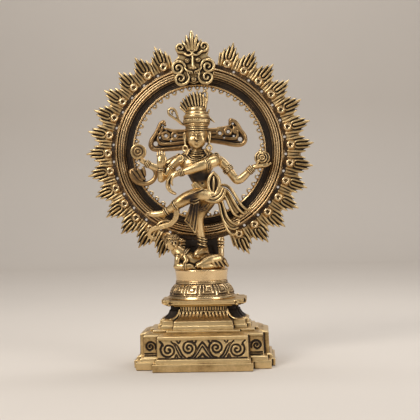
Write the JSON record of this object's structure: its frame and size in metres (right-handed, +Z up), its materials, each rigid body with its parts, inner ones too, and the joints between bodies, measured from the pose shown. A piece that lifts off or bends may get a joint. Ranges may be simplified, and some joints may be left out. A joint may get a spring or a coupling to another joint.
{
  "type": "nataraja statue",
  "caption": "Cast brass dancer inside a ring of flames on a stepped pedestal with a lotus seat; a shelf or shrine figure.",
  "frame": {"origin": "centre of the pedestal's underside, on the surface it stands on", "axes": "+Z up, -Y is the front that the dancer faces, +X is the viewer's right"},
  "size_m": [0.2395, 0.124, 0.3432],
  "materials": {
    "pedestal_brass": "sand-cast, relieved on the highs, dark patina in the carving",
    "seat_brass": "cast and buffed bright, patina in the engraved petals",
    "ring_brass": "cast, brown patina with worn golden ridges",
    "flame_brass": "cast, dark grooves with worn golden ridges",
    "figure_brass": "cast, bright rubbed limbs and dark recesses",
    "pin_brass": "drawn rod, filed flush",
    "rod_steel": "plain threaded steel, dull"
  },
  "bodies": {
    "root": {"arm_serpent": "figure_brass", "cloth_panel": "figure_brass", "crest_mask": "ring_brass", "crest_rivets": "pin_brass", "crown": "figure_brass", "drum_pin": "pin_brass", "dwarf": "figure_brass", "dwarf_head": "figure_brass", "flame_roundels": "flame_brass", "flames_left": "flame_brass", "flames_right": "flame_brass", "front_left_arm": "figure_brass", "front_right_arm": "figure_brass", "hair_left": "figure_brass", "hair_right": "figure_brass", "hand_drum": "figure_brass", "hand_flame": "figure_brass", "head": "figure_brass", "leg_scarf": "figure_brass", "limb_dowels": "pin_brass", "lotus_seat": "seat_brass", "pearl_beads": "flame_brass", "plinth": "pedestal_brass", "raised_leg": "figure_brass", "rear_left_arm": "figure_brass", "rear_right_arm": "figure_brass", "ring_foot_left": "ring_brass", "ring_foot_pins": "pin_brass", "ring_foot_right": "ring_brass", "ring_hoop": "ring_brass", "ring_web": "ring_brass", "rod_nut": "rod_steel", "rod_washer": "rod_steel", "sash_tails": "figure_brass", "seat_drum": "seat_brass", "standing_leg": "figure_brass", "tie_rod": "rod_steel", "torso": "figure_brass", "upper_tier": "pedestal_brass", "waist_sash": "figure_brass"}
  },
  "joints": []
}
